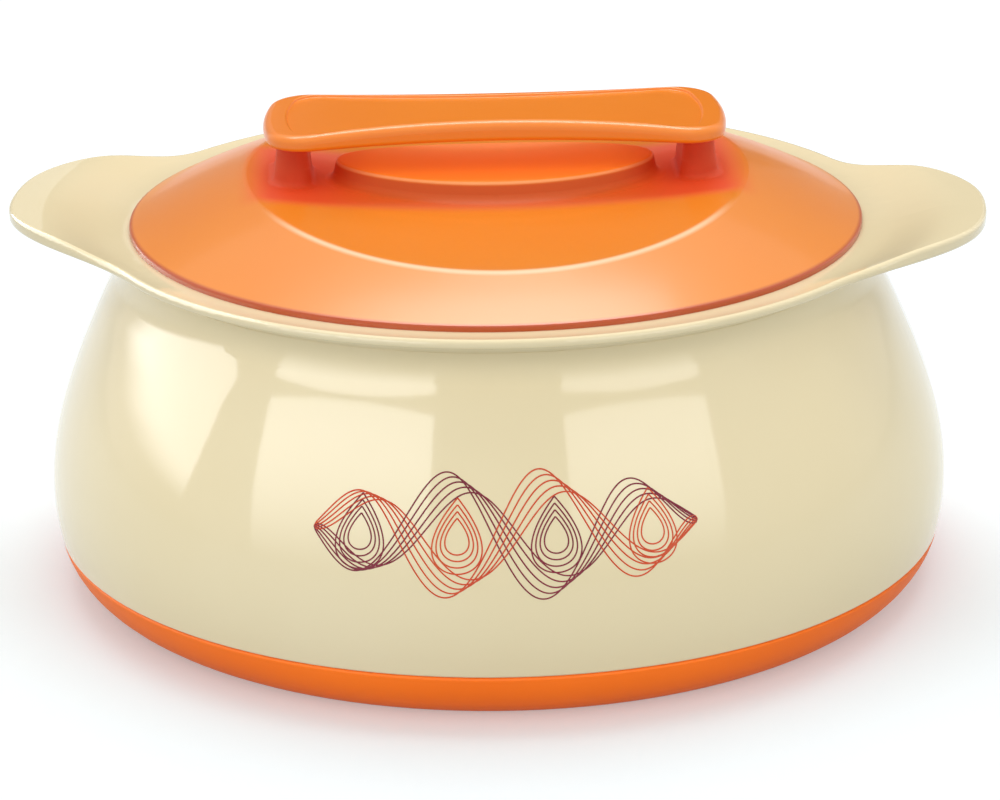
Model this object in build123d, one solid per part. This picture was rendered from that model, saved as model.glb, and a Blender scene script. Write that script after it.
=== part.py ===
from build123d import *

import os
from math import cos, radians, sin, sqrt, tan

# Insulated chapati casserole. Lengths are in millimetres and angles in degrees.
# The origin is on the table under the middle of the base. +Z is up and the two ears lie along X.
# Profiles are drawn as (radius, height) and turned once round the vertical axis.

# Heights and radii that set the overall size
rim_height = 107.8
lid_radius = 110.0
belly_radius = 136.4
belly_height = 27.0
seam_height = 15.2
dome_height = 26.5

# Walls and clearances
wall = 2.4
steel = 0.8
seat_gap = 0.3
spigot_clearance = 0.15
mouth_clearance = 1.5

# Outer shell
seam_tuck = 1.5
shoulder_tuck = 7.5
shoulder_height = 64.4
waist_flare = 2.9
waist_drop = 11.0
shell_edge_round = 0.9
foot_lean = 0.22
neck_lean = 0.08

# Collar: lip, neck band above the shell, and what it holds
lip_margin = 10.5
lip_overhang = 7.0
lip_rise = 1.3
lip_thickness = 2.8
lip_round = 1.2
lip_hollow = 1.5
neck_band = 2.0
collar_spigot_depth = 7.0
rebate_depth = 3.2
throat_clearance = 0.6
throat_depth = 10.0

# Ears
ear_length = 26.3
ear_slope_length = 10.5
ear_slope_rise = 4.6
ear_rise = 5.8
ear_thickness = 3.8
ear_root_angle = 34.0
ear_tip_back = 4.0
ear_tip_half = 24.0
ear_shoulder_back = 19.0
ear_shoulder_half = 43.5
ear_waist_back = 36.0
ear_waist_half = 55.5

# Base
foot_tuck = 12.0
foot_width = 5.0
foot_round = 1.2
base_bulge = 1.6
recess_height = 2.5
base_floor = 2.5
base_spigot_height = 6.0
base_ring_radii = (45.0, 85.0)
base_ring_width = 2.0
base_ring_depth = 1.5
plug_hole_radius = 7.0
plug_head_overlap = 3.0
plug_head_height = 1.2
plug_barb = 0.8
plug_tip_length = 2.4
plug_fit = 0.1

# Steel bowl
lid_seat_width = 7.7
bowl_rim_width = 5.0
bowl_rim_drop = 0.4
bowl_floor_height = 24.0
bowl_draft = 5.0
bowl_corner_radius = 16.0
bowl_rim_round = 1.2

# Lid cover
lid_edge = 1.5
lid_edge_round = 0.6
scoop_floor = 10.9
scoop_radius = 553.0
scoop_crest_round = 3.5
plinth_gap = 8.5
plinth_width = 42.0
plinth_rise = 6.3
plinth_draft = 12.0
plinth_edge_round = 1.2
plinth_foot_round = 3.0

# Handle
lid_turn = 7.2
handle_end_width = 56.5
handle_waist_width = 35.0
handle_end_bulge = 4.3
handle_corner_radius = 11.0
handle_bottom = 28.3
handle_thickness = 6.0
handle_arch = 1.9
handle_top_round = 2.6
handle_edge_round = 1.3
handle_border = 4.2
handle_end_border = 7.0
handle_dish = 0.8
handle_dish_round = 0.35
handle_rim_round = 0.5
foot_crest_gap = 14.6
foot_overhang = 4.0
foot_thickness = 9.0
foot_span = 26.0
foot_seat = 25.8
pedestal_draft = 6.0
pedestal_flare = 2.0

# Screws from inside the lid into the handle's feet
screw_radius = 1.5
screw_hole_clearance = 0.3
screw_pilot_clearance = 0.05
screw_bite = 5.0
screw_head_radius = 3.5
screw_head_height = 2.4
screw_slot = 1.0
boss_wall = 4.2
boss_height = 2.0

# Lid liner
plug_depth = 11.7
liner_lift = 0.4
liner_flange_width = 6.0
liner_corner_radius = 4.0

# Sizes that follow from the ones above
collar_radius = lid_radius + lip_margin
neck_radius = collar_radius - lip_overhang
neck_height = rim_height - lip_thickness - neck_band
seam_radius = belly_radius - seam_tuck
rebate_radius = lid_radius - lid_seat_width
bowl_rim_radius = rebate_radius - seat_gap
mouth_radius = bowl_rim_radius - bowl_rim_width
bowl_top = rim_height - bowl_rim_drop
bowl_floor_radius = mouth_radius - (bowl_top - bowl_floor_height) * tan(radians(bowl_draft))
collar_spigot_radius = neck_radius - wall - spigot_clearance
ear_reach = collar_radius + ear_length
foot_radius = seam_radius - foot_tuck
base_top = recess_height + base_floor
plug_head_radius = plug_hole_radius + plug_head_overlap
plug_top = base_top + plug_fit + plug_tip_length
base_spigot_radius = seam_radius - wall - spigot_clearance
dome_base = rim_height + lid_edge
dome_radius = (lid_radius**2 + dome_height**2) / (2 * dome_height)
dome_centre = dome_base + dome_height - dome_radius
scoop_centre = rim_height + scoop_floor + scoop_radius
crest_height = (dome_radius**2 - scoop_radius**2 - dome_centre**2 + scoop_centre**2) / (
    2 * (scoop_centre - dome_centre)
)
crest_reach = sqrt(dome_radius**2 - (crest_height - dome_centre) ** 2)
foot_place = crest_reach - foot_crest_gap
handle_length = 2 * (foot_place + foot_thickness / 2 + foot_overhang)
plinth_length = 2 * (foot_place - foot_thickness / 2 - plinth_gap)
screw_hole_radius = screw_radius + screw_hole_clearance
screw_pilot_radius = screw_radius + screw_pilot_clearance
boss_radius = screw_hole_radius + boss_wall
liner_radius = mouth_radius - mouth_clearance
liner_bottom = rim_height - plug_depth
liner_flange_radius = liner_radius + liner_flange_width


def upright(sketch):
    """Stands a sketch drawn as (radius, height) up in the XZ plane."""
    return Rot(90, 0, 0) * sketch


def turned(sketch):
    """Turns a standing profile once round the vertical axis."""
    return revolve(upright(sketch), Axis.Z, 360)


def profile(*corners):
    """Closed face through (radius, height, rounding) corners."""
    points = [(corner[0], corner[1]) for corner in corners]
    rounds = [corner[2] for corner in corners]
    return make_face(FilletPolyline(*points, radius=rounds, close=True))


def rounded_at(face, point, radius):
    """Rounds the corner of a face that lies nearest to a point."""
    corner = face.vertices().sort_by_distance((point[0], point[1], 0))[0]
    return fillet(corner, radius)


def disc(radius, low, high):
    """Upright cylinder between two heights."""
    return Pos(0, 0, low) * extrude(Circle(radius), high - low)


def shell_curve(inset):
    """Bell curve of the shell from seam to neck, moved in by a wall."""
    points = [
        (seam_radius - inset, seam_height),
        (belly_radius - inset, belly_height),
        (belly_radius - shoulder_tuck - inset, shoulder_height),
        (neck_radius + waist_flare - inset, neck_height - waist_drop),
        (neck_radius - inset, neck_height),
    ]
    return Spline(*points, tangents=[(foot_lean, 1), (-neck_lean, 1)])


def make_outer_body():
    outside = shell_curve(0)
    inside = shell_curve(wall)
    face = make_face([outside, Line(outside @ 1, inside @ 1), inside, Line(inside @ 0, outside @ 0)])
    face = rounded_at(face, (seam_radius, seam_height), shell_edge_round)
    face = rounded_at(face, (neck_radius, neck_height), seat_gap)
    return turned(face)


def make_base_cover():
    foot_inside = foot_radius - foot_width
    spigot_inside = base_spigot_radius - wall
    spigot_top = seam_height + base_spigot_height
    middle = (
        (foot_radius + seam_radius) / 2 + base_bulge,
        seam_height / 2 - base_bulge,
    )
    outline = [
        ThreePointArc((foot_radius, 0), middle, (seam_radius, seam_height)),
        Polyline(
            (seam_radius, seam_height),
            (base_spigot_radius, seam_height),
            (base_spigot_radius, spigot_top),
            (spigot_inside, spigot_top),
            (spigot_inside, seam_height - wall),
            (foot_radius + wall, base_top),
            (plug_hole_radius, base_top),
            (plug_hole_radius, recess_height),
            (foot_inside, recess_height),
            (foot_inside, 0),
            (foot_radius, 0),
        ),
    ]
    face = rounded_at(make_face(outline), (foot_radius, 0), foot_round)
    face = rounded_at(face, (foot_inside, 0), foot_round)
    face = rounded_at(face, (seam_radius, seam_height), shell_edge_round)
    base = turned(face)
    for radius in base_ring_radii:
        ring = disc(radius + base_ring_width / 2, recess_height - base_ring_depth, recess_height)
        base += ring - disc(radius - base_ring_width / 2, 0, recess_height)
    return base


def make_fill_plug():
    shank = plug_hole_radius - plug_fit
    head_low = recess_height - plug_head_height
    barb_low = base_top + plug_fit
    return turned(
        profile(
            (0, head_low, 0),
            (plug_head_radius, head_low, plug_head_height / 2),
            (plug_head_radius, recess_height, 0),
            (shank, recess_height, 0),
            (shank, barb_low, 0),
            (shank + plug_barb, barb_low + plug_barb, 0),
            (shank - plug_barb, plug_top, 0),
            (0, plug_top, 0),
        )
    )


def make_inner_bowl():
    rest = rim_height - rebate_depth
    return turned(
        profile(
            (0, bowl_floor_height, 0),
            (bowl_floor_radius, bowl_floor_height, bowl_corner_radius),
            (mouth_radius, bowl_top, bowl_rim_round),
            (bowl_rim_radius, bowl_top, bowl_rim_round),
            (bowl_rim_radius, rest, 0),
            (bowl_rim_radius - steel, rest, 0),
            (bowl_rim_radius - steel, bowl_top - steel, bowl_rim_round - steel),
            (mouth_radius + steel, bowl_top - steel, bowl_rim_round + steel),
            (bowl_floor_radius + steel, bowl_floor_height - steel, bowl_corner_radius + steel),
            (0, bowl_floor_height - steel, 0),
        )
    )


def make_collar_ring():
    """Inner part of the collar: neck band, spigot, rebate and throat."""
    rebate = rim_height - rebate_depth
    web_under = rebate - wall
    throat = mouth_radius + steel + throat_clearance
    spigot_inside = collar_spigot_radius - wall
    spigot_low = neck_height - collar_spigot_depth
    return turned(
        profile(
            (rebate_radius, rim_height, seat_gap),
            (neck_radius, rim_height, 0),
            (neck_radius, neck_height, 0),
            (collar_spigot_radius, neck_height, 0),
            (collar_spigot_radius, spigot_low, 0),
            (spigot_inside, spigot_low, 0),
            (spigot_inside, rim_height - lip_thickness, 0),
            (rebate_radius + wall, rim_height - lip_thickness, 0),
            (rebate_radius + wall, web_under, 0),
            (throat + wall, web_under, 0),
            (throat + wall, rim_height - throat_depth, 0),
            (throat, rim_height - throat_depth, 0),
            (throat, rebate, 0),
            (rebate_radius, rebate, 0),
        )
    )


def dish_curve(start, lip_drop, ear_drop):
    """Rise of the collar's top from its flat seat to the ears, or of its underside when dropped."""
    return Spline(
        (start, rim_height - lip_drop),
        (collar_radius, rim_height + lip_rise - lip_drop),
        (collar_radius + ear_slope_length, rim_height + ear_slope_rise - ear_drop),
        (ear_reach + wall, rim_height + ear_rise - ear_drop),
        tangents=[(1, 0), (1, 0)],
    )


def make_dish():
    """Plate of the collar as a full ring, wide enough to cut the ears from."""
    inside = rebate_radius + wall
    under = rim_height - lip_thickness
    top = dish_curve(lid_radius + seat_gap, 0, 0)
    bottom = dish_curve(neck_radius, lip_thickness, ear_thickness)
    outline = [
        Line((inside, rim_height), top @ 0),
        top,
        Line(top @ 1, bottom @ 1),
        bottom,
        Polyline(bottom @ 0, (inside, under), (inside, rim_height)),
    ]
    return turned(make_face(outline))


def collar_plan():
    """Plan of the collar: a circle with an ear on each side."""
    angle = radians(ear_root_angle)
    middle = (angle + radians(90)) / 2
    root = (collar_radius * cos(angle), collar_radius * sin(angle))
    side = Spline(
        (ear_reach, 0),
        (ear_reach - ear_tip_back, ear_tip_half),
        (ear_reach - ear_shoulder_back, ear_shoulder_half),
        (ear_reach - ear_waist_back, ear_waist_half),
        root,
        tangents=[(0, 1), (-sin(angle), cos(angle))],
    )
    quarter_arc = ThreePointArc(
        root,
        (collar_radius * cos(middle), collar_radius * sin(middle)),
        (0, collar_radius),
    )
    quarter = side + quarter_arc
    half = quarter + mirror(quarter, Plane.YZ)
    return make_face(half + mirror(half, Plane.XZ))


def plan_edges(plate):
    """Upper and lower edges of the collar's outer outline."""
    edges = plate.edges().filter_by(lambda edge: edge.length > 2 * ear_thickness)
    reach = collar_radius - seat_gap
    return edges.filter_by(lambda edge: sqrt((edge @ 0).X ** 2 + (edge @ 0).Y ** 2) > reach)


def make_rim_collar():
    under = rim_height - lip_thickness
    prism = Pos(0, 0, under) * extrude(collar_plan(), lip_thickness + ear_rise + wall)
    plate = make_dish() & prism
    plate = fillet(plan_edges(plate), lip_round)
    collar = plate + make_collar_ring()
    corner = collar.edges().filter_by(GeomType.CIRCLE)
    corner = corner.filter_by(lambda edge: abs(edge.radius - neck_radius) < seat_gap)
    corner = corner.filter_by(lambda edge: abs(edge.center().Z - under) < seat_gap)
    return fillet(corner, lip_hollow)


def make_body_insulation():
    inner = bowl_floor_radius + steel + seat_gap
    throat = mouth_radius + steel + throat_clearance + wall + seat_gap
    top = rim_height - rebate_depth - wall - seat_gap
    spigot_low = neck_height - collar_spigot_depth - seat_gap
    spigot_inside = collar_spigot_radius - wall - seat_gap
    throat_low = rim_height - throat_depth - seat_gap
    bowl_under = bowl_floor_height - steel - seat_gap
    floor_top = base_top + seat_gap
    gap = wall + seat_gap
    base_inside = base_spigot_radius - wall - seat_gap
    base_spigot_top = seam_height + base_spigot_height + seat_gap
    core = profile(
        (0, floor_top, 0),
        (foot_radius + wall, floor_top, 0),
        (base_inside, seam_height - wall + seat_gap, 0),
        (base_inside, base_spigot_top, 0),
        (belly_radius + wall, base_spigot_top, 0),
        (belly_radius + wall, spigot_low, 0),
        (spigot_inside, spigot_low, 0),
        (spigot_inside, top, 0),
        (throat, top, 0),
        (throat, throat_low, 0),
        (0, throat_low, 0),
    )
    curve = shell_curve(gap)
    envelope = make_face(
        [curve, Polyline(curve @ 1, (0, neck_height), (0, 0), (seam_radius - gap, 0), curve @ 0)]
    )
    bowl_wall_top = mouth_radius + steel + seat_gap
    bowl_space = profile(
        (0, bowl_under, 0),
        (inner, bowl_under, bowl_corner_radius + steel + seat_gap),
        (bowl_wall_top, bowl_top, 0),
        (0, bowl_top, 0),
    )
    foam = turned(core) & turned(envelope)
    foam -= turned(bowl_space)
    return foam - disc(plug_head_radius, 0, plug_top + seat_gap)


def dome(grow):
    """Dome of the lid above the rim plane, its surface moved out by grow."""
    radius = lid_radius + grow
    sphere = dome_radius + grow
    edge = dome_centre + sqrt(sphere**2 - radius**2)
    side = (radius * sin(radians(45)), dome_centre + sqrt(sphere**2 - (radius * sin(radians(45))) ** 2))
    outline = [
        ThreePointArc((radius, edge), side, (0, dome_centre + sphere)),
        Polyline((0, dome_centre + sphere), (0, rim_height), (radius, rim_height), (radius, edge)),
    ]
    return turned(make_face(outline))


def scoop(grow):
    """Barrel that cuts the trough across the lid, its floor moved down by grow."""
    radius = scoop_radius + grow
    barrel = Rot(90, 0, 0) * extrude(Circle(radius), 2 * lid_radius, both=True)
    return Pos(0, 0, scoop_centre) * barrel


def plinth(inset):
    """Low oval plinth in the scoop under the bar, its skin moved in by inset."""
    top = scoop_height(plinth_length / 2) + plinth_rise
    outline = Ellipse(plinth_length / 2 - inset, plinth_width / 2 - inset)
    block = extrude(outline, top - rim_height, taper=-plinth_draft)
    return Pos(0, 0, top) * mirror(block, Plane.XY) - scoop(inset - plinth_rise)


def foot_plan(x, y):
    """Plan of a handle foot, with round ends."""
    return Pos(x, y) * Rot(0, 0, 90) * SlotOverall(foot_span, foot_thickness)


def pedestal(x, y):
    """Pedestal that a handle foot stands on, widening downwards."""
    block = extrude(foot_plan(x, y), foot_seat - scoop_floor, taper=-pedestal_draft)
    return Pos(0, 0, rim_height + foot_seat) * mirror(block, Plane.XY)


def rising_edges(body, x, reach):
    """Edges along which something rises out of the scoop's floor around the place x."""
    found = []
    for edge in body.edges():
        box = edge.bounding_box()
        inside = x - reach < box.min.X and box.max.X < x + reach
        inside = inside and -foot_span < box.min.Y and box.max.Y < foot_span
        floor = scoop_height(max(abs(box.min.X), abs(box.max.X)))
        if inside and box.min.Z > rim_height and box.max.Z < floor + plinth_edge_round:
            found.append(edge)
    return found


def scoop_height(x):
    """Height of the scoop's floor at the distance x from the middle."""
    return scoop_centre - sqrt(scoop_radius**2 - x**2)


def scooped_dome():
    """Outside of the lid: dome, scoop, plinth and pedestals, with rounded edges."""
    body = dome(0) - scoop(0)
    for x, y in foot_points():
        body += pedestal(x, y)
        body = fillet(rising_edges(body, x, 2 * foot_thickness), pedestal_flare)
    raised = plinth(0)
    body += fillet(raised.faces().sort_by(Axis.Z)[-1].edges(), plinth_edge_round)
    body = fillet(rising_edges(body, 0, plinth_length / 2 + wall), plinth_foot_round)
    crest = [edge for edge in body.edges() if on_crest(edge)]
    body = fillet(crest, scoop_crest_round)
    rim = body.edges().filter_by(lambda edge: abs(edge.center().Z - dome_base) < lid_edge / 2)
    return fillet(rim, lid_edge_round)


def on_crest(edge):
    """Whether an edge runs where the scoop meets the dome."""
    points = [edge @ place for place in (0, 0.3, 0.8)]
    on_scoop = all(abs(scoop_height(point.X) - point.Z) < wall / 100 for point in points)
    return on_scoop and all(abs(surface_height(point) - point.Z) < wall / 100 for point in points)


def surface_height(point):
    """Height of the dome's surface above or below a point inside its rim."""
    across = min(sqrt(point.X**2 + point.Y**2), lid_radius)
    return dome_centre + sqrt(dome_radius**2 - across**2)


def foot_points():
    """Middle of each handle foot in the lid's own plan."""
    return [(-foot_place, 0), (foot_place, 0)]


def boss_low():
    """Height of the flat seat under the cover that a screw head bears on."""
    return scoop_height(foot_place) - wall - boss_height


def make_lid_cover():
    cavity = dome(-wall) - scoop(wall)
    cavity += plinth(wall)
    for x, y in foot_points():
        cavity -= Pos(x, y, 0) * disc(boss_radius, boss_low(), dome_base + dome_height)
    cover = scooped_dome() - cavity
    for x, y in foot_points():
        cover -= Pos(x, y, 0) * disc(screw_hole_radius, rim_height, rim_height + foot_seat)
    return cover


def handle_outline(inset, end_inset):
    """Plan of the bar, waisted and bowed at its ends, moved in along its sides and its ends."""
    tip = handle_length / 2 - end_inset
    corner = tip - handle_end_bulge
    end = handle_end_width / 2 - inset
    waist = handle_waist_width / 2 - inset
    sides = [
        ThreePointArc((-corner, end), (0, waist), (corner, end)),
        ThreePointArc((corner, end), (tip, 0), (corner, -end)),
        ThreePointArc((corner, -end), (0, -waist), (-corner, -end)),
        ThreePointArc((-corner, -end), (-tip, 0), (-corner, end)),
    ]
    face = make_face(sides)
    return fillet(face.vertices(), handle_corner_radius - inset)


def arch(drop):
    """Space under the arched top of the bar, lowered by drop."""
    top = rim_height + handle_bottom + handle_thickness - drop
    radius = (handle_length**2 / 4 + handle_arch**2) / (2 * handle_arch)
    barrel = Rot(90, 0, 0) * extrude(Circle(radius), handle_length, both=True)
    return Pos(0, 0, top - radius) * barrel


def handle_recess():
    """Shallow dish sunk into the top of the bar, with a rounded foot to its walls."""
    low = rim_height + handle_bottom
    panel = extrude(handle_outline(handle_border, handle_end_border), 2 * handle_thickness)
    recess = Pos(0, 0, low) * panel - arch(handle_dish)
    floor = recess.edges().filter_by(lambda edge: edge.center().Z < low + handle_thickness)
    return fillet(floor, handle_dish_round)


def edges_between(body, low, high):
    """Edges of a body that lie wholly between two heights."""
    boxes = [(edge, edge.bounding_box()) for edge in body.edges()]
    return [edge for edge, box in boxes if low < box.min.Z and box.max.Z < high]


def make_lid_handle():
    low = rim_height + handle_bottom
    middle = low + handle_thickness / 2
    high = low + 2 * handle_thickness
    blank = Pos(0, 0, low) * extrude(handle_outline(0, 0), 2 * handle_thickness)
    bar = blank & arch(0)
    bar = fillet(edges_between(bar, low - wall, middle), handle_edge_round)
    bar = fillet(edges_between(bar, middle, high), handle_top_round)
    recess = handle_recess()
    dished = bar - recess
    bar = fillet(new_edges(bar, recess, combined=dished), handle_rim_round)
    for x, y in foot_points():
        stem = extrude(foot_plan(x, y), handle_bottom - foot_seat + handle_thickness / 2)
        bar += Pos(0, 0, rim_height + foot_seat) * stem
        bar -= Pos(x, y, 0) * disc(screw_pilot_radius, rim_height, screw_tip() + seat_gap)
    return bar


def screw_tip():
    """Height that the point of a handle screw reaches."""
    return rim_height + foot_seat + screw_bite


def make_screw():
    """Pan-head screw with its head's bearing face at the origin."""
    grip = screw_tip() - boss_low()
    head = turned(
        profile(
            (0, -screw_head_height, 0),
            (screw_head_radius, -screw_head_height, screw_head_height / 2),
            (screw_head_radius, 0, 0),
            (0, 0, 0),
        )
    )
    shank = turned(
        profile(
            (0, 0, 0),
            (screw_radius, 0, 0),
            (screw_radius, grip - screw_radius, 0),
            (0, grip, 0),
        )
    )
    slots = Box(2 * screw_slot, screw_slot, screw_slot) + Box(screw_slot, 4 * screw_slot, screw_slot)
    return head + shank - Pos(0, 0, -screw_head_height) * (slots + Rot(0, 0, 90) * slots)


def make_lid_liner():
    flange_low = rim_height + liner_lift
    inside = liner_radius - wall
    floor_top = liner_bottom + wall
    sphere = dome_radius - wall
    lip_top = dome_centre + sqrt(sphere**2 - liner_flange_radius**2) - seat_gap
    return turned(
        profile(
            (0, liner_bottom, 0),
            (liner_radius, liner_bottom, liner_corner_radius),
            (liner_radius, flange_low, 0),
            (liner_flange_radius, flange_low, 0),
            (liner_flange_radius, lip_top, 0),
            (liner_flange_radius - steel, lip_top, 0),
            (liner_flange_radius - steel, flange_low + wall - steel, 0),
            (inside, flange_low + wall - steel, 0),
            (inside, floor_top, liner_corner_radius - wall),
            (0, floor_top, 0),
        )
    )


def make_lid_insulation():
    inside = liner_radius - wall - seat_gap
    floor = liner_bottom + wall + seat_gap
    foam = disc(inside, floor, dome_base + dome_height)
    foam = fillet(foam.edges().group_by(Axis.Z)[0], liner_corner_radius)
    foam &= lid_room()
    for x, y in foot_points():
        clear_low = boss_low() - screw_head_height - seat_gap
        clear = disc(boss_radius + seat_gap, clear_low, dome_base + dome_height)
        foam -= Pos(x, y, 0) * clear
    return foam


def lid_room():
    """Room inside the lid for its foam, reaching down into the liner."""
    skin = wall + seat_gap
    room = dome(-skin) - scoop(skin) + plinth(skin)
    return room + disc(liner_radius, liner_bottom, rim_height)


def make_handle_screws():
    screws = Part()
    for x, y in foot_points():
        screws += Pos(x, y, boss_low()) * make_screw()
    return screws


def make_parts():
    lid_pose = Rot(0, 0, lid_turn)
    return {
        "outer_body": make_outer_body(),
        "rim_collar": make_rim_collar(),
        "inner_bowl": make_inner_bowl(),
        "body_insulation": make_body_insulation(),
        "base_cover": make_base_cover(),
        "fill_plug": make_fill_plug(),
        "lid_cover": lid_pose * make_lid_cover(),
        "lid_handle": lid_pose * make_lid_handle(),
        "handle_screws": lid_pose * make_handle_screws(),
        "lid_liner": lid_pose * make_lid_liner(),
        "lid_insulation": lid_pose * make_lid_insulation(),
    }


os.makedirs("parts", exist_ok=True)
for name, shape in make_parts().items():
    export_step(shape, f"parts/{name}.step")
    print(name, "solids", len(shape.solids()), "volume", round(shape.volume))
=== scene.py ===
import bpy
from math import cos, pi, radians, sin
from mathutils import Matrix, Quaternion, Vector


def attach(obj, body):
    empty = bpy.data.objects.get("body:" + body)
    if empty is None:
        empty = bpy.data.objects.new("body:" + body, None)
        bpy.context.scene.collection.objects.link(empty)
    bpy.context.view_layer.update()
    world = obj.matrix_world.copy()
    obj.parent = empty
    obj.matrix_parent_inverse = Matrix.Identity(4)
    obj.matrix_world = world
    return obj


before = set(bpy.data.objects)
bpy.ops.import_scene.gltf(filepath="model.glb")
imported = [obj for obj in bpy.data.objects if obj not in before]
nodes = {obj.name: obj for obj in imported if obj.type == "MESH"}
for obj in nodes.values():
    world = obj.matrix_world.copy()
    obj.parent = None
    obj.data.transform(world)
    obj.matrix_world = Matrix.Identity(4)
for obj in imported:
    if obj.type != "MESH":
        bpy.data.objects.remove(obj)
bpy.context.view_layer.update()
print("frame loaded,", len(nodes), "nodes")


# Wraps a socket, so that node maths reads as plain arithmetic
class Wire:
    def __init__(self, tree, socket=None):
        self.tree = tree
        self.socket = socket

    # Settings go in before the sockets are filled, since they can change which sockets there are
    def make(self, kind, settings={}, inputs={}, output=0):
        node = self.tree.nodes.new(kind)
        for name, value in settings.items():
            setattr(node, name, value)
        for name, value in inputs.items():
            socket = findSocket(node.inputs, name)
            if isinstance(value, Wire):
                self.tree.links.new(value.socket, socket)
            else:
                socket.default_value = value
        return Wire(self.tree, findSocket(node.outputs, output))

    def math(self, operation, other=0.0):
        return self.make("ShaderNodeMath", {"operation": operation}, {0: self, 1: other})

    # 0 below low and 1 above high, smooth between
    def step(self, low, high):
        settings = {"interpolation_type": "SMOOTHSTEP"}
        return self.make("ShaderNodeMapRange", settings, {0: self, 1: low, 2: high})

    # A vector's X, Y and Z
    def axes(self):
        node = self.make("ShaderNodeSeparateXYZ", {}, {0: self}).socket.node
        return [Wire(self.tree, socket) for socket in node.outputs]

    def vectorMath(self, operation, other):
        inputs = {0: self, 1: other}
        return self.make("ShaderNodeVectorMath", {"operation": operation}, inputs, "Vector")

    def scaled(self, factor):
        inputs = {0: self, "Scale": factor}
        return self.make("ShaderNodeVectorMath", {"operation": "SCALE"}, inputs, "Vector")

    def __add__(self, other):
        return self.math("ADD", other)

    __radd__ = __add__

    def __sub__(self, other):
        return self.math("SUBTRACT", other)

    def __rsub__(self, other):
        return self.make("ShaderNodeMath", {"operation": "SUBTRACT"}, {0: other, 1: self})

    def __mul__(self, other):
        return self.math("MULTIPLY", other)

    __rmul__ = __mul__

    def __truediv__(self, other):
        return self.math("DIVIDE", other)

    def __pow__(self, other):
        return self.math("POWER", other)


# A socket by its number, identifier or name
def findSocket(sockets, name):
    if isinstance(name, int):
        return sockets[name]
    for socket in sockets:
        if name in (socket.identifier, socket.name):
            return socket
    raise KeyError(name)


def combined(start, x=0.0, y=0.0, z=0.0):
    return start.make("ShaderNodeCombineXYZ", {}, {"X": x, "Y": y, "Z": z})


# An sRGB colour in the linear values that shaders take
def hexColor(text):
    channels = [int(text[i : i + 2], 16) / 255 for i in (0, 2, 4)]
    linear = [c / 12.92 if c <= 0.04045 else ((c + 0.055) / 1.055) ** 2.4 for c in channels]
    return (*linear, 1)


def addObject(name, data):
    thing = bpy.data.objects.new(name, data)
    bpy.context.scene.collection.objects.link(thing)
    return thing


# A rectangle about the origin that faces up
def makeRectangle(name, width, depth, material):
    x, y = width / 2, depth / 2
    mesh = bpy.data.meshes.new(name)
    mesh.from_pydata([(-x, -y, 0), (x, -y, 0), (x, y, 0), (-x, y, 0)], [], [(0, 1, 2, 3)])
    mesh.materials.append(material)
    return mesh


# Camera: azimuth 0 is in front of the printed side and grows to the right
cameraPlace = {
    "distance": 1.2,
    "elevation": 21.704,
    "azimuth": 5.336,
    "target": (0.00057, 0.00005, 0.04911),
    "roll": -0.7645,
    "lens": 138.94,
    "sensor": 36,
    "clipStart": 0.05,
}


def direction(azimuth, elevation):
    a, e = radians(azimuth), radians(elevation)
    return Vector((sin(a) * cos(e), -cos(a) * cos(e), sin(e)))


def makeCamera(place):
    spot = direction(place["azimuth"], place["elevation"]) * place["distance"]
    ahead = (Vector(place["target"]) - spot).normalized()
    right = ahead.cross(Vector((0, 0, 1))).normalized()
    above = right.cross(ahead)
    turn = radians(place["roll"])
    axes = (
        cos(turn) * right + sin(turn) * above,
        cos(turn) * above - sin(turn) * right,
        -ahead,
    )
    data = bpy.data.cameras.new("camera")
    data.sensor_width = place["sensor"]
    data.lens = place["lens"]
    data.clip_start = place["clipStart"]
    camera = addObject("camera", data)
    camera.matrix_world = Matrix.Translation(spot) @ Matrix(axes).transposed().to_4x4()
    bpy.context.scene.camera = camera


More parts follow.
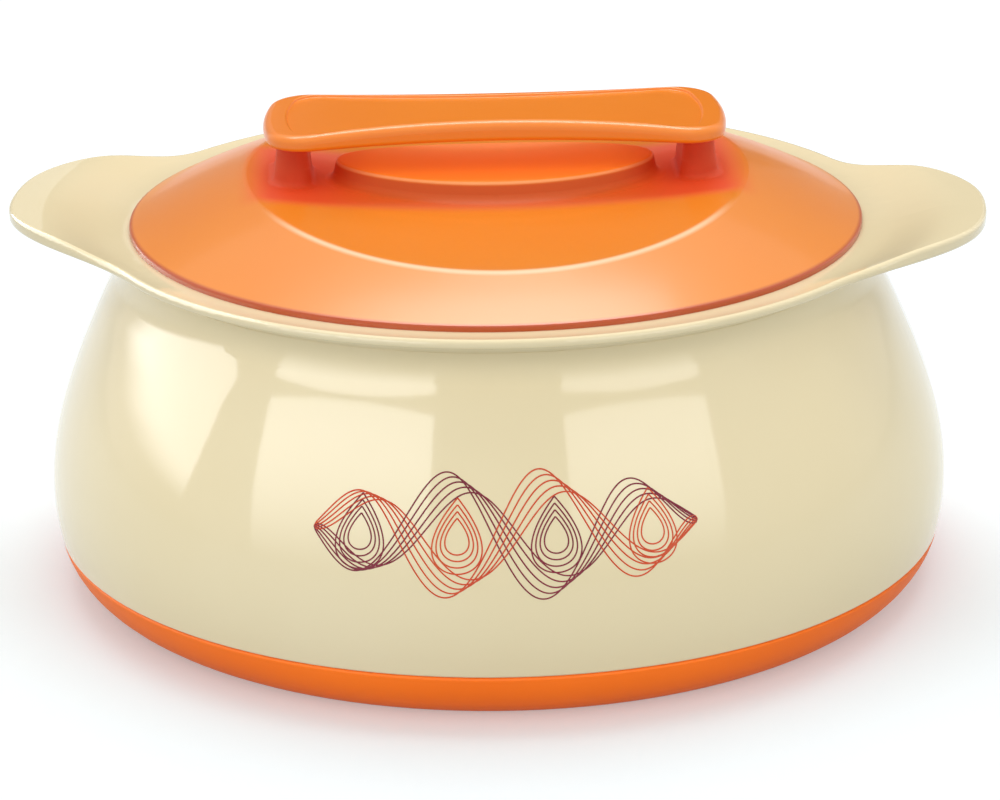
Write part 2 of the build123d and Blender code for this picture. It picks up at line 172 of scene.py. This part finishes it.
# Soft boxes and cards face the point aimed at, each from its azimuth, elevation and distance.
# Glow is the brightness of a box's own face, fade the part of its height over which it dies away
# towards the floor, and a roll tilts it in its own plane. A box is either only seen in the gloss,
# or only lights the object
bodyNodes = ["outer_body", "rim_collar", "base_cover"]
lidNodes = ["lid_cover", "lid_handle"]
studio = {
    "skyStrength": 0.66,
    "floorColor": (0.70, 0.755, 0.79, 1),
    "floorGlow": 0.31,
    "floorSize": 12.0,
    "aim": (0, 0, 0.07),
    "cards": {
        "greyCard": {"place": (185, 20, 1.9), "size": (2.5, 1.2), "color": 0.5},
        "blackCard": {"place": (181, 20, 1.85), "size": (0.72, 1.16), "color": 0.03},
    },
    "boxes": {
        "leftPanel": {"place": (-35, 13.5, 1.5), "size": (1.24, 0.84), "glow": 4.4, "fade": 0.9},
        "rightPanel": {"place": (42.5, 13.5, 1.5), "size": (1.04, 0.84), "glow": 3.1, "fade": 0.9},
        "leftSide": {"place": (-108, 29, 1.6), "size": (1.96, 1.6), "glow": 4.4, "fade": 0.15},
        "sheen": {"place": (196, 74, 1.5), "size": (1.3, 0.66), "glow": 9.0, "fade": 0.7},
        "overhead": {"place": (182, 72, 1.5), "size": (1.4, 1.0), "glow": 3.0, "fade": 0.2},
        "frontFill": {"place": (0, 46, 1.6), "size": (1.6, 0.9), "glow": 2.0, "fade": 0.3},
        "lowFill": {"place": (0, 12, 1.5), "size": (1.9, 0.4), "glow": 0.45, "fade": 0.1},
        "leftFill": {"place": (-90, 16, 1.5), "size": (0.8, 0.8), "glow": 1.3, "fade": 0.1},
        "rightFill": {"place": (100, 16, 1.5), "size": (0.8, 0.8), "glow": 0.9, "fade": 0.1},
        "baseFill": {"place": (4, 8, 1.5), "size": (1.9, 0.36), "glow": 3.4, "fade": 0.1},
    },
    "rolls": {"leftPanel": 9, "rightPanel": -8},
    "lightOnly": ["overhead", "frontFill", "lowFill", "leftFill", "rightFill", "baseFill"],
    # Nodes that a box works on, where it isn't all of them
    "only": {
        "leftPanel": bodyNodes,
        "rightPanel": bodyNodes,
        "leftSide": bodyNodes,
        "leftFill": ["outer_body"],
        "rightFill": ["outer_body"],
        "sheen": lidNodes,
        "frontFill": bodyNodes + lidNodes,
        "lowFill": ["outer_body"],
        "baseFill": ["base_cover"],
    },
    # The bar throws no shadow of the overhead box onto the crown below it
    "shadowless": {"overhead": "lid_handle"},
}


# Where a box or card stands, and the way from the aim to it
def placeAround(aim, place):
    azimuth, elevation, distance = place
    away = direction(azimuth, elevation)
    return Vector(aim) + away * distance, away


def nodeGroup(name, members):
    group = bpy.data.collections.new(name)
    for member in members:
        group.objects.link(nodes[member])
    return group


def makeLights(settings):
    for name, box in settings["boxes"].items():
        data = bpy.data.lights.new(name, "AREA")
        data.shape = "RECTANGLE"
        data.size, data.size_y = box["size"]
        data.energy = box["glow"] * pi * data.size * data.size_y
        fadeLight(data, box["fade"])
        light = addObject(name, data)
        light.location, away = placeAround(settings["aim"], box["place"])
        roll = Quaternion((0, 0, 1), radians(settings["rolls"].get(name, 0)))
        light.rotation_euler = (away.to_track_quat("Z", "Y") @ roll).to_euler()
        light.visible_diffuse = name in settings["lightOnly"]
        light.visible_glossy = name not in settings["lightOnly"]
    for name, lit in settings["only"].items():
        linking = bpy.data.objects[name].light_linking
        linking.receiver_collection = nodeGroup(name + "Lights", lit)
    for name, left in settings["shadowless"].items():
        linking = bpy.data.objects[name].light_linking
        blockers = [node for node in nodes if node != left]
        linking.blocker_collection = nodeGroup(name + "Blockers", blockers)


def fadeLight(data, fade):
    data.use_nodes = True
    emission = data.node_tree.nodes["Emission"]
    start = Wire(data.node_tree)
    height = start.make("ShaderNodeNewGeometry", output="Parametric").axes()[1]
    data.node_tree.links.new(height.step(0.0, fade).socket, emission.inputs["Strength"])


# 1 for what the camera sees, straight or in gloss or glass, and 0 for light on the object
def seenByEye(start):
    kinds = ("Is Camera Ray", "Is Glossy Ray", "Is Transmission Ray")
    straight, glossy, through = [start.make("ShaderNodeLightPath", output=kind) for kind in kinds]
    return straight.math("MAXIMUM", glossy).math("MAXIMUM", through)


def makeStage(settings):
    world = bpy.data.worlds.new("studio")
    bpy.context.scene.world = world
    world.use_nodes = True
    world.node_tree.nodes.clear()
    start = Wire(world.node_tree)
    strength = seenByEye(start) * (1 - settings["skyStrength"]) + settings["skyStrength"]
    sky = start.make("ShaderNodeBackground", {}, {"Color": (1, 1, 1, 1), "Strength": strength})
    output = world.node_tree.nodes.new("ShaderNodeOutputWorld")
    world.node_tree.links.new(sky.socket, output.inputs["Surface"])
    bpy.context.scene.view_settings.view_transform = "Standard"

    material, start = newMaterial("studioFloor")
    paper = start.make("ShaderNodeBsdfDiffuse", {}, {"Color": settings["floorColor"]})
    strength = seenByEye(start) * settings["floorGlow"]
    glow = start.make("ShaderNodeEmission", {}, {"Strength": strength})
    finishMaterial(material, start.make("ShaderNodeAddShader", {}, {0: paper, 1: glow}))
    side = settings["floorSize"]
    addObject("floor", makeRectangle("floor", side, side, material))


# Cards behind the object, seen only in its gloss, which keep the lid's low reflections deep
def makeCards(settings):
    for name, card in settings["cards"].items():
        material, start = newMaterial(name)
        shade = (card["color"],) * 3 + (1,)
        finishMaterial(material, start.make("ShaderNodeBsdfDiffuse", {}, {"Color": shade}))
        mesh = makeRectangle(name, *card["size"], material)
        spot, away = placeAround(settings["aim"], card["place"])
        facing = away.to_track_quat("Z", "Y").to_matrix().to_4x4()
        mesh.transform(Matrix.Translation(spot) @ facing)
        piece = addObject(name, mesh)
        piece.visible_camera = False
        piece.visible_diffuse = False
        piece.visible_transmission = False
        piece.visible_shadow = False


def newMaterial(name):
    material = bpy.data.materials.new(name)
    material.use_nodes = True
    material.node_tree.nodes.clear()
    return material, Wire(material.node_tree)


def finishMaterial(material, shader):
    tree = material.node_tree
    output = tree.nodes.new("ShaderNodeOutputMaterial")
    tree.links.new(shader.socket, output.inputs["Surface"])


def noise(place, scale, detail):
    inputs = {"Vector": place, "Scale": scale, "Detail": detail}
    return place.make("ShaderNodeTexNoise", {}, inputs, "Fac")


def blendColor(start, factor, first, second):
    inputs = {"Factor_Float": factor, "A_Color": first, "B_Color": second}
    return start.make("ShaderNodeMix", {"data_type": "RGBA"}, inputs, "Result_Color")


bumpDepth = 0.001  # depth in metres that a bump height of 1 stands for


def bumped(height):
    inputs = {"Strength": 1.0, "Distance": bumpDepth, "Height": height}
    return height.make("ShaderNodeBump", {}, inputs)


# What every plastic shares: how fine each noise goes, and where the flow clouds begin and end
plasticDetail = {"clouds": 4.0, "cloudEdges": (0.3, 0.7), "peel": 2.0, "grain": 3.0}


# Moulded plastic: faint flow clouds in the colour, fine orange peel in the gloss
def makePlastic(name, look, crown=None):
    material, start = newMaterial(name)
    place = start.make("ShaderNodeTexCoord", output="Object")
    clouds = noise(place, look["cloudScale"], plasticDetail["clouds"])
    clouds = clouds.step(*plasticDetail["cloudEdges"])
    color = blendColor(start, clouds, hexColor(look["color"]), hexColor(look["cloudColor"]))
    coat = look["coat"]
    roughness = look["roughness"]
    # The crown's colour gets painted shade and painted highlights, and it loses its coat under the
    # bar
    if crown:
        color, under = crownPaintedLight(start, place, color, crown)
        coat = (1 - under) * coat
        roughness = under * crown["roughen"] + roughness
    peel = noise(place, look["peelScale"], plasticDetail["peel"])
    grain = noise(place, look["grainScale"], plasticDetail["grain"])
    inputs = {
        "Base Color": color,
        "Roughness": grain * look["roughSpread"] + roughness,
        "IOR": look["ior"],
        "Coat Weight": coat,
        "Coat Roughness": look["coatRoughness"],
        "Normal": bumped(peel * look["peelHeight"] + grain * look["grainHeight"]),
    }
    finishMaterial(material, start.make("ShaderNodeBsdfPrincipled", {}, inputs))
    return material


# The lid's crown carries painted shadow under the bar, darkest by its feet, and loses its coat
# there.
# The plinth has a painted shaded wall, a lighter painted top and a painted highlight on its rim.
# A fine painted highlight runs along the crest where scoop and dome meet, and painted shade
# darkens the edge of the lid. Lengths run along the bar, widths across it, and the plinth's
# heights are above the scoop
crownLook = {
    "turn": 7.2,
    # Painted shadow under the bar, darkest by its feet
    "paintedShadowColor": "D84C20",
    # Painted shade on the plinth's wall and painted light on its top
    "paintedWallShadeColor": "CE5A1E",
    "paintedTopLightColor": "F28424",
    # Painted highlight along the plinth's rim
    "paintedRimHighlightColor": "FFBE84",
    "topHeights": (0.0046, 0.0058),
    "rimStart": (0.0050, 0.0056),
    "rimEnd": (0.0059, 0.0062),
    "rimStrength": 0.5,
    "roughen": 0.3,
    "deepLength": (0.032, 0.060),
    "endLength": (0.066, 0.078),
    "width": (0.024, 0.034),
    # Painted highlight along the crest where scoop and dome meet
    "paintedCrestHighlightColor": "FFDCB4",
    "lineWidth": 0.00080,
    "lineStrength": 0.72,
    "lineBack": (-0.062, -0.034),
    # Painted shade along the lid's edge
    "paintedEdgeShadeColor": "B84A10",
    "edgeRadius": (0.1085, 0.1098),
    "domeRadius": 0.24155,
    "domeCentre": -0.10575,
    "scoopRadius": 0.553,
    "scoopCentre": 0.6717,
}


def crownPaintedLight(start, place, color, look):
    turn = (0, 0, -radians(look["turn"]))
    x, y, z = start.make("ShaderNodeMapping", {}, {"Vector": place, "Rotation": turn}).axes()
    along = x.math("ABSOLUTE")
    # The mask of painted shadow under the bar
    under = 1 - along.step(*look["endLength"])
    under = under * (1 - y.math("ABSOLUTE").step(*look["width"]))
    square = x * x + y * y
    dome = (look["domeRadius"] ** 2 - square).math("SQRT") + look["domeCentre"]
    scoop = look["scoopCentre"] - (look["scoopRadius"] ** 2 - x * x).math("SQRT")

    def over(below, factor, name):
        return blendColor(start, factor, below, hexColor(look[name]))

    rise = z - scoop
    # Painted shade on the plinth's wall and painted light on its top
    paintedLightUnderBar = over(hexColor(look["paintedWallShadeColor"]), rise.step(*look["topHeights"]), "paintedTopLightColor")
    # Painted highlight along the plinth's rim
    rim = rise.step(*look["rimStart"]) * (1 - rise.step(*look["rimEnd"]))
    paintedLightUnderBar = over(paintedLightUnderBar, rim * look["rimStrength"], "paintedRimHighlightColor")
    # Painted shadow, darkest by the bar's feet
    paintedLightUnderBar = over(paintedLightUnderBar, along.step(*look["deepLength"]), "paintedShadowColor")
    color = blendColor(start, under, color, paintedLightUnderBar)
    # Painted highlight along the crest
    line = 1 - (dome - scoop).math("ABSOLUTE").step(0.0, look["lineWidth"])
    line = line * (1 - y.step(*look["lineBack"]))
    color = over(color, line * look["lineStrength"], "paintedCrestHighlightColor")
    # Painted shade darkens the lid's edge
    return over(color, (square ** 0.5).step(*look["edgeRadius"]), "paintedEdgeShadeColor"), under


creamLook = {
    "color": "ECDDB6",
    "cloudColor": "E9D9AF",
    "cloudScale": 9.0,
    "peelScale": 160.0,
    "peelHeight": 0.010,
    "grainScale": 1400.0,
    "grainHeight": 0.0015,
    "roughness": 0.05,
    "roughSpread": 0.04,
    "ior": 1.42,
    "coat": 0.2,
    "coatRoughness": 0.04,
}
orangeLook = {
    "color": "EF851A",
    "cloudColor": "EC8013",
    "cloudScale": 12.0,
    "peelScale": 220.0,
    "peelHeight": 0.010,
    "grainScale": 1800.0,
    "grainHeight": 0.004,
    "roughness": 0.30,
    "roughSpread": 0.08,
    "ior": 1.5,
    "coat": 0.3,
    "coatRoughness": 0.12,
}
# A darker copy of the lid's orange for the crown: painted shade, so the crown renders darker than
# the handle
crownShadedOrange = {**orangeLook, "color": "E6851C", "cloudColor": "E38016"}
baseOrangeLook = {
    **orangeLook,
    "color": "F87510",
    "cloudColor": "F36F0C",
    "roughness": 0.5,
    "ior": 1.35,
    "coat": 0.0,
}
inkLook = {
    "cloudScale": 60.0,
    "peelScale": 300.0,
    "peelHeight": 0.004,
    "grainScale": 2500.0,
    "grainHeight": 0.002,
    "roughness": 0.22,
    "roughSpread": 0.08,
    "ior": 1.5,
    "coat": 0.2,
    "coatRoughness": 0.08,
}
maroonInk = {**inkLook, "color": "86152F", "cloudColor": "981F38"}
orangeInk = {**inkLook, "color": "EA4A1A", "cloudColor": "F05C26"}


# Spun steel: fine rings and broad bands round the bowl's axis, and a softly uneven polish
steelLook = {
    "color": "C9C7C2",
    "bandColor": "B4B1AB",
    "bandScale": 90.0,
    "bandEdges": (0.3, 0.7),
    "ringScale": 2600.0,
    "ringHeight": 0.004,
    "ringRoughness": 0.14,
    "polishScale": 26.0,
    "polishDetail": 3.0,
    "polishRoughness": 0.08,
    "roughness": 0.16,
}


def makeSpunSteel(name, look):
    material, start = newMaterial(name)
    place = start.make("ShaderNodeTexCoord", output="Object")
    x, y, z = place.axes()
    along = (x * x + y * y) ** 0.5 + z
    oneWay = {"noise_dimensions": "1D"}
    rings = start.make("ShaderNodeTexNoise", oneWay, {"W": along, "Scale": look["ringScale"]})
    bands = start.make("ShaderNodeTexNoise", oneWay, {"W": along, "Scale": look["bandScale"]})
    bands = bands.step(*look["bandEdges"])
    color = blendColor(start, bands, hexColor(look["color"]), hexColor(look["bandColor"]))
    polish = noise(place, look["polishScale"], look["polishDetail"]) * look["polishRoughness"]
    inputs = {
        "Base Color": color,
        "Metallic": 1.0,
        "Roughness": rings * look["ringRoughness"] + polish + look["roughness"],
        "Normal": bumped(rings * look["ringHeight"]),
    }
    finishMaterial(material, start.make("ShaderNodeBsdfPrincipled", {}, inputs))
    return material


# Rigid foam: open cells cut at the skin
foamLook = {
    "color": "E3CF94",
    "cellColor": "C9B072",
    "cellScale": 900.0,
    "cellEdges": (0.2, 0.8),
    "cellHeight": 0.25,
    "cellGloss": 0.1,
    "roughness": 0.9,
}


def makeFoam(name, look):
    material, start = newMaterial(name)
    place = start.make("ShaderNodeTexCoord", output="Object")
    inputs = {"Vector": place, "Scale": look["cellScale"]}
    cells = start.make("ShaderNodeTexVoronoi", {}, inputs, "Distance")
    walls = cells.step(*look["cellEdges"])
    color = blendColor(start, walls, hexColor(look["cellColor"]), hexColor(look["color"]))
    inputs = {
        "Base Color": color,
        "Roughness": look["roughness"] - cells * look["cellGloss"],
        "Normal": bumped(cells * look["cellHeight"]),
    }
    finishMaterial(material, start.make("ShaderNodeBsdfPrincipled", {}, inputs))
    return material


# Printed front: two crossing ribbons of fine lines, and nested drops in the loops between them.
# Turn is the azimuth of the print's middle in radians, Ray start how many shell radii out the
# lines are before they are cast onto the shell
printSizes = {
    "Half length": 0.056,
    "Middle height": 0.0560,
    "Amplitude": 0.0145,
    "Wave length": 0.056,
    "Ribbon spread": 0.20,
    "Ribbon twist": 0.42,
    "Drop length": 0.0100,
    "Drop width": 0.0066,
    "Drop fullness": 1.4,
    "Drop nesting": 0.26,
    "Line radius": 0.00028,
    "Line sink": 0.00012,
    "Turn": 0.107,
    "Shell radius": 0.1355,
    "Ray start": 1.5,
}
printCounts = {
    "ribbonLines": 5,
    "ribbonSamples": 240,
    "dropLines": 4,
    "dropSamples": 72,
    "loops": 2,
    "tubeSides": 6,
}


# Fine parallel lines as one bundle of splines, spread over -1 to 1 in X and in Y: the edges of a
# grid that don't run in Y
def lineBundle(start, lines, samples):
    grid = {"Size X": 2.0, "Size Y": 2.0, "Vertices X": samples, "Vertices Y": lines}
    mesh = start.make("GeometryNodeMeshGrid", {}, grid, "Mesh")
    first = start.make("GeometryNodeInputMeshEdgeVertices", {}, {}, "Position 1")
    second = start.make("GeometryNodeInputMeshEdgeVertices", {}, {}, "Position 2")
    gap = first.vectorMath("SUBTRACT", second).axes()[1]
    level = gap.math("ABSOLUTE").math("LESS_THAN", 1.0 / samples)
    inputs = {"Mesh": mesh, "Selection": level}
    return start.make("GeometryNodeMeshToCurve", {}, inputs, "Curve")


def placed(geometry, spot):
    return geometry.make("GeometryNodeSetPosition", {}, {"Geometry": geometry, "Position": spot})


def makeRibbon(start, value, counts, x, y):
    wave = x * value["Half length"] * (2 * pi) / value["Wave length"]
    wave = wave + value["Phase"] + y * value["Ribbon twist"]
    taper = (1 - x * x).math("MAXIMUM", 0.0) ** 0.5
    rise = wave.math("SINE") * taper * value["Amplitude"] * (y * value["Ribbon spread"] + 1)
    lines = lineBundle(start, counts["ribbonLines"], counts["ribbonSamples"])
    return placed(lines, combined(start, x * value["Half length"], 0.0, rise))


def makeDrops(start, value, counts, x, y):
    turn = (x + 1) * pi
    size = 1 - (y + 1) * value["Drop nesting"]
    side = turn.math("SINE") * (turn / 2).math("SINE").math("ABSOLUTE")
    across = size * side * value["Drop width"] * value["Drop fullness"]
    rise = size * turn.math("COSINE") * value["Drop length"]
    lines = lineBundle(start, counts["dropLines"], counts["dropSamples"])
    drop = placed(lines, combined(start, across, 0.0, rise))
    loops = {
        "Count": counts["loops"],
        "Start Location": combined(start, value["Wave length"] * value["Loop start"]),
        "Offset": combined(start, value["Wave length"]),
    }
    spots = start.make("GeometryNodeMeshLine", {"mode": "OFFSET"}, loops, "Mesh")
    inputs = {"Points": spots, "Instance": drop}
    drops = start.make("GeometryNodeInstanceOnPoints", {}, inputs, "Instances")
    return start.make("GeometryNodeRealizeInstances", {}, {"Geometry": drops}, "Geometry")


# Bends the flat lines round the axis and casts them inwards onto the shell
def castOnShell(start, value, lines, x, z):
    azimuth = x / value["Shell radius"] + value["Turn"]
    outward = combined(start, azimuth.math("SINE"), azimuth.math("COSINE") * -1.0)
    high = combined(start, z=z + value["Middle height"])
    source = outward.scaled(value["Shell radius"] * value["Ray start"]).vectorMath("ADD", high)
    shell = start.make("GeometryNodeObjectInfo", {}, {"Object": value["Shell"]}, "Geometry")
    ray = {
        "Target Geometry": shell,
        "Source Position": source,
        "Ray Direction": outward.scaled(-1.0),
    }
    hit = start.make("GeometryNodeRaycast", {}, ray, "Hit Position")
    return placed(lines, hit.vectorMath("ADD", outward.scaled(value["Line sink"] * -1.0)))


def makePrintTree(sizes, counts):
    tree = bpy.data.node_groups.new("linePrint", "GeometryNodeTree")
    tree.is_modifier = True
    kinds = {"Shell": "NodeSocketObject", "Ink": "NodeSocketMaterial"}
    for name in ("Phase", "Loop start", *sizes):
        kinds[name] = "NodeSocketFloat"
    for name, kind in kinds.items():
        tree.interface.new_socket(name, in_out="INPUT", socket_type=kind)
    tree.interface.new_socket("Geometry", in_out="OUTPUT", socket_type="NodeSocketGeometry")
    start = Wire(tree)
    value = {name: start.make("NodeGroupInput", {}, {}, name) for name in kinds}
    x, y, z = start.make("GeometryNodeInputPosition").axes()

    join = tree.nodes.new("GeometryNodeJoinGeometry")
    for makeLines in (makeRibbon, makeDrops):
        lines = makeLines(start, value, counts, x, y)
        tree.links.new(lines.socket, join.inputs[0])
    lines = castOnShell(start, value, Wire(tree, join.outputs[0]), x, z)

    profile = {"Resolution": counts["tubeSides"], "Radius": value["Line radius"]}
    profile = start.make("GeometryNodeCurvePrimitiveCircle", {}, profile, "Curve")
    tubes = {"Curve": lines, "Profile Curve": profile, "Fill Caps": True}
    mesh = start.make("GeometryNodeCurveToMesh", {}, tubes, "Mesh")
    mesh = start.make("GeometryNodeRealizeInstances", {}, {"Geometry": mesh}, "Geometry")
    inked = {"Geometry": mesh, "Material": value["Ink"]}
    mesh = start.make("GeometryNodeSetMaterial", {}, inked, "Geometry")
    output = tree.nodes.new("NodeGroupOutput")
    tree.links.new(mesh.socket, output.inputs["Geometry"])
    return tree


def growMesh(name, tree, values):
    piece = addObject(name, bpy.data.meshes.new(name + "Seed"))
    modifier = piece.modifiers.new("grow", "NODES")
    modifier.node_group = tree
    for socket in tree.interface.items_tree:
        if socket.in_out == "INPUT":
            modifier[socket.identifier] = values[socket.name]
    bpy.context.view_layer.update()
    shown = piece.evaluated_get(bpy.context.evaluated_depsgraph_get())
    grown = bpy.data.meshes.new_from_object(shown)
    piece.modifiers.clear()
    piece.data = grown
    grown.name = name
    return piece


# Each ink prints one ribbon, and the drops in every other loop
printRuns = {
    "frontLinesOrange": {"Phase": 0.0, "Loop start": -0.25},
    "frontLinesMaroon": {"Phase": pi, "Loop start": -0.75},
}


def makeArtwork():
    tree = makePrintTree(printSizes, printCounts)
    inks = {
        "frontLinesOrange": makePlastic("inkOrange", orangeInk),
        "frontLinesMaroon": makePlastic("inkMaroon", maroonInk),
    }
    for name, run in printRuns.items():
        values = {**printSizes, **run, "Ink": inks[name], "Shell": nodes["outer_body"]}
        piece = growMesh(name, tree, values)
        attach(piece, "body")
        print(name, len(piece.data.polygons), "faces")


def dressNodes():
    cream = makePlastic("creamPlastic", creamLook)
    orange = makePlastic("orangePlastic", orangeLook)
    crown = makePlastic("crownPlastic", crownShadedOrange, crownLook)
    baseOrange = makePlastic("baseOrangePlastic", baseOrangeLook)
    steel = makeSpunSteel("spunSteel", steelLook)
    foam = makeFoam("foam", foamLook)
    finishes = {
        "outer_body": cream,
        "rim_collar": cream,
        "lid_liner": cream,
        "lid_cover": crown,
        "lid_handle": orange,
        "base_cover": baseOrange,
        "fill_plug": baseOrange,
        "inner_bowl": steel,
        "handle_screws": steel,
        "body_insulation": foam,
        "lid_insulation": foam,
    }
    for name, material in finishes.items():
        for slot in nodes[name].material_slots:
            slot.material = material
    print("materials set on", len(finishes), "nodes")


makeCamera(cameraPlace)
makeStage(studio)
makeLights(studio)
makeCards(studio)
print("studio ready,", len(studio["boxes"]), "soft boxes")
dressNodes()
makeArtwork()
